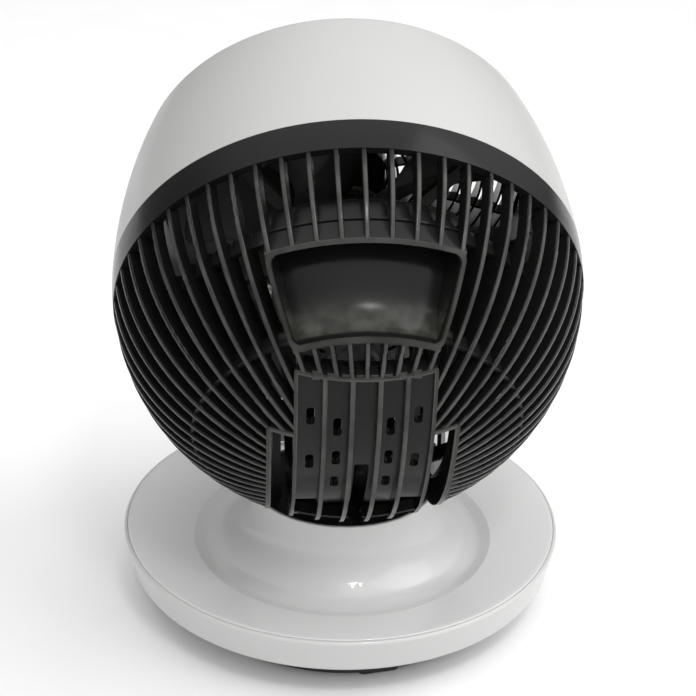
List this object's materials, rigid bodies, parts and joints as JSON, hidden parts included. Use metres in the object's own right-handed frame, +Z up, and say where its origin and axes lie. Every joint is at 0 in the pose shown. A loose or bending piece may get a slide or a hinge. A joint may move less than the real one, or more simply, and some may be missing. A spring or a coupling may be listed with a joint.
{
  "type": "air circulator fan",
  "caption": "Table air circulator: spherical ribbed head with a rear hand-hold, tilting on a hidden yoke above a round swivelling base with press keys.",
  "frame": {"origin": "under the middle of the object, on the surface its rubber pads stand on", "axes": "+Z up; the air leaves towards -Y and the rear guard with the hand-hold faces +Y; +X is the object's left when seen from the rear"},
  "size_m": [0.254, 0.2672, 0.3285],
  "materials": {
    "shell_white": "light grey-white moulded plastic, satin",
    "base_white": "light grey-white moulded plastic, glossier than the shell",
    "guard_black": "near-black moulded plastic, satin",
    "foot_black": "black moulded plastic, fine grain",
    "foot_rubber": "soft dark rubber",
    "inner_black": "black moulded plastic, matte",
    "impeller_black": "black moulded plastic, satin",
    "steel_zinc": "zinc-plated steel",
    "steel_pressed": "pressed sheet steel",
    "motor_paint": "black painted sheet steel",
    "ballast_iron": "rough cast iron",
    "bush_nylon": "natural acetal",
    "gear_nylon": "natural acetal",
    "copper_winding": "enamelled copper wire",
    "lamination": "stacked electrical steel",
    "board_green": "circuit board with solder mask",
    "panel_grey": "dark grey gloss plastic",
    "button_grey": "light grey satin plastic",
    "lens_clear": "clear moulded lens"
  },
  "bodies": {
    "foot": {"foot_housing": "foot_black", "foot_cover": "foot_black", "rubber_feet": "foot_rubber", "foot_screws": "steel_zinc", "power_inlet": "inner_black", "glide_ring": "bush_nylon", "swivel_retainer": "steel_pressed", "swivel_gear": "gear_nylon", "retainer_screws": "steel_zinc"},
    "base": {"base_tray": "base_white", "base_cover": "base_white", "cover_screws": "steel_zinc", "neck_collar": "inner_black", "yoke": "inner_black", "yoke_screws": "steel_zinc", "tilt_bushes": "bush_nylon", "ballast_ring": "ballast_iron", "control_panel": "panel_grey", "indicator_window": "lens_clear", "control_board": "board_green", "board_spacers": "bush_nylon", "power_board": "board_green", "swivel_motor": "steel_pressed"},
    "pinion": {"swivel_pinion": "gear_nylon"},
    "power_key": {"button_power": "button_grey"},
    "speed_key": {"button_speed": "button_grey"},
    "timer_key": {"button_timer": "button_grey"},
    "swing_key": {"button_swing": "button_grey"},
    "mode_key": {"button_mode": "button_grey"},
    "head": {"front_shell": "shell_white", "rear_guard": "guard_black", "air_duct": "inner_black", "duct_screws": "steel_zinc", "motor_bracket": "steel_pressed", "tilt_pins": "steel_zinc", "friction_washers": "bush_nylon", "motor_housing": "motor_paint", "motor_end_cap": "motor_paint", "motor_screws": "steel_zinc", "stator": "lamination", "stator_windings": "copper_winding", "bearings": "steel_zinc", "front_grille": "guard_black", "grille_screws": "steel_zinc", "front_cap": "inner_black"},
    "fan": {"motor_shaft": "steel_zinc", "rotor": "lamination", "impeller": "impeller_black", "impeller_nut": "steel_zinc"}
  },
  "joints": [
    {"name": "base_swivel", "type": "hinge", "parent": "foot", "child": "base", "pos_m": [0, 0.0085, 0.02], "axis": [0, 0, 1], "range_deg": [-45, 45]},
    {"name": "swivel_drive", "type": "hinge", "parent": "base", "child": "pinion", "pos_m": [0, 0.0385, 0.03], "axis": [0, 0, 1], "range_deg": [-182, 182]},
    {"name": "head_tilt", "type": "hinge", "parent": "base", "child": "head", "pos_m": [0, 0.0085, 0.1896], "axis": [-1, 0, 0], "range_deg": [-28, 62]},
    {"name": "fan_spin", "type": "hinge", "parent": "head", "child": "fan", "pos_m": [0, 0.0085, 0.1896], "axis": [0, -0.8829, 0.4695], "continuous": true},
    {"name": "power_press", "type": "slide", "parent": "base", "child": "power_key", "axis": [0, 0, -1], "range_m": [0, 0.0008], "stiffness_N_per_m": 300},
    {"name": "speed_press", "type": "slide", "parent": "base", "child": "speed_key", "axis": [0, 0, -1], "range_m": [0, 0.0008], "stiffness_N_per_m": 300},
    {"name": "timer_press", "type": "slide", "parent": "base", "child": "timer_key", "axis": [0, 0, -1], "range_m": [0, 0.0008], "stiffness_N_per_m": 300},
    {"name": "swing_press", "type": "slide", "parent": "base", "child": "swing_key", "axis": [0, 0, -1], "range_m": [0, 0.0008], "stiffness_N_per_m": 300},
    {"name": "mode_press", "type": "slide", "parent": "base", "child": "mode_key", "axis": [0, 0, -1], "range_m": [0, 0.0008], "stiffness_N_per_m": 300}
  ],
  "couplings": [
    {"joint": "swivel_drive", "follows": "base_swivel", "ratio": 4}
  ]
}
